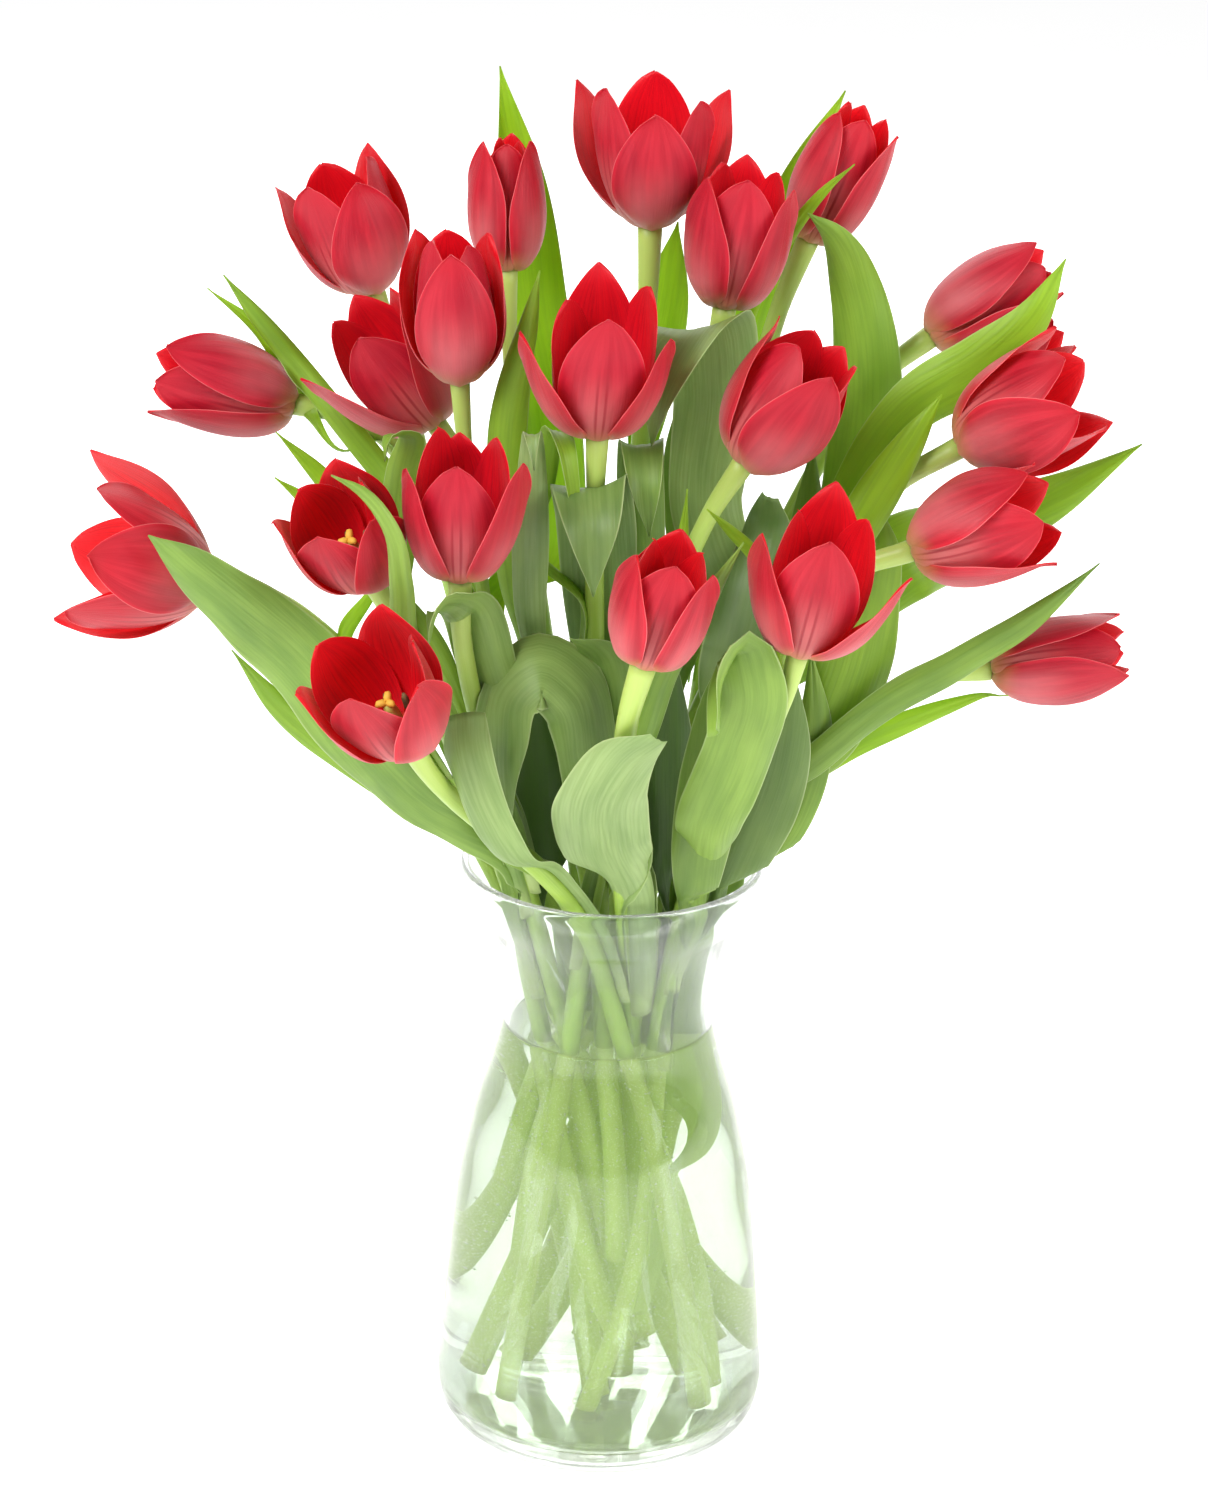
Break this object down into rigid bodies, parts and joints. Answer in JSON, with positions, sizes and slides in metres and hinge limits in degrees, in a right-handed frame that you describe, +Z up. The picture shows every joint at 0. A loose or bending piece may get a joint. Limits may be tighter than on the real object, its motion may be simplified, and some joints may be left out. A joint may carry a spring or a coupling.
{
  "type": "tulips in a vase",
  "caption": "Bouquet of red cut tulips with their leaves, standing in a clear hourglass glass vase of water.",
  "frame": {"origin": "on the vase's axis, at its flat underside", "axes": "+Z up along the vase's axis, -Y the bouquet's front, +X to the right seen from the front"},
  "size_m": [0.3449, 0.1956, 0.4611],
  "materials": {
    "vase_glass": "clear polished",
    "water": "clear liquid",
    "stem": "waxy skin",
    "petal": "satin petals",
    "leaf": "waxy skin with a grey bloom"
  },
  "bodies": {
    "root": {"flower_01": "petal", "flower_02": "petal", "flower_03": "petal", "flower_04": "petal", "flower_05": "petal", "flower_06": "petal", "flower_07": "petal", "flower_08": "petal", "flower_09": "petal", "flower_10": "petal", "flower_11": "petal", "flower_12": "petal", "flower_13": "petal", "flower_14": "petal", "flower_15": "petal", "flower_16": "petal", "flower_17": "petal", "flower_18": "petal", "flower_19": "petal", "flower_20": "petal", "flower_21": "petal", "leaf_arch_fold": "leaf", "leaf_big_fold": "leaf", "leaf_dark_broad": "leaf", "leaf_front_left_light": "leaf", "leaf_front_light": "leaf", "leaf_left_broad": "leaf", "leaf_left_tall": "leaf", "leaf_left_under": "leaf", "leaf_right_broad": "leaf", "leaf_right_drop": "leaf", "leaf_right_light": "leaf", "leaf_right_long": "leaf", "leaf_right_low_light": "leaf", "leaf_right_wide": "leaf", "leaf_rolled": "leaf", "leaf_tall_back": "leaf", "stem_01": "stem", "stem_02": "stem", "stem_03": "stem", "stem_04": "stem", "stem_05": "stem", "stem_06": "stem", "stem_07": "stem", "stem_08": "stem", "stem_09": "stem", "stem_10": "stem", "stem_11": "stem", "stem_12": "stem", "stem_13": "stem", "stem_14": "stem", "stem_15": "stem", "stem_16": "stem", "stem_17": "stem", "stem_18": "stem", "stem_19": "stem", "stem_20": "stem", "stem_21": "stem", "vase": "vase_glass", "water": "water"}
  },
  "joints": []
}
